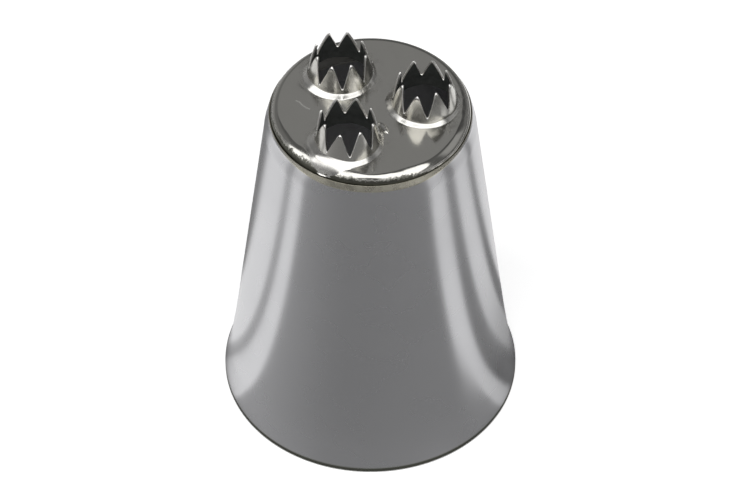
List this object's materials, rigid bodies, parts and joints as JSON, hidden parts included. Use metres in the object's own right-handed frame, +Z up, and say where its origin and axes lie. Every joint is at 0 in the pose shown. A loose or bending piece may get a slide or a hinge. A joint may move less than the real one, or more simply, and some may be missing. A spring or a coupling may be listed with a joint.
{
  "type": "piping nozzle",
  "caption": "Tapered metal piping nozzle with toothed star spouts set in a pressed face plate, for icing or dough squeezed from a piping bag.",
  "frame": {"origin": "centre of the wide rim, on the plane that the nozzle stands on", "axes": "+Z up along the axis towards the spouts, +X to the right as seen from the front, -Y to the front"},
  "size_m": [0.034, 0.034, 0.0468],
  "materials": {
    "shell": "fine turned satin, bright on the sides",
    "plate": "polished, slightly warm, with fine handling scratches",
    "spout": "polished, slightly warm",
    "solder": "bright smooth solder"
  },
  "bodies": {
    "root": {"cone_body": "shell", "face_plate": "plate", "star_spout_1": "spout", "star_spout_2": "spout", "star_spout_3": "spout", "spout_solder_1": "solder", "spout_solder_2": "solder", "spout_solder_3": "solder", "plate_solder": "solder"}
  },
  "joints": []
}
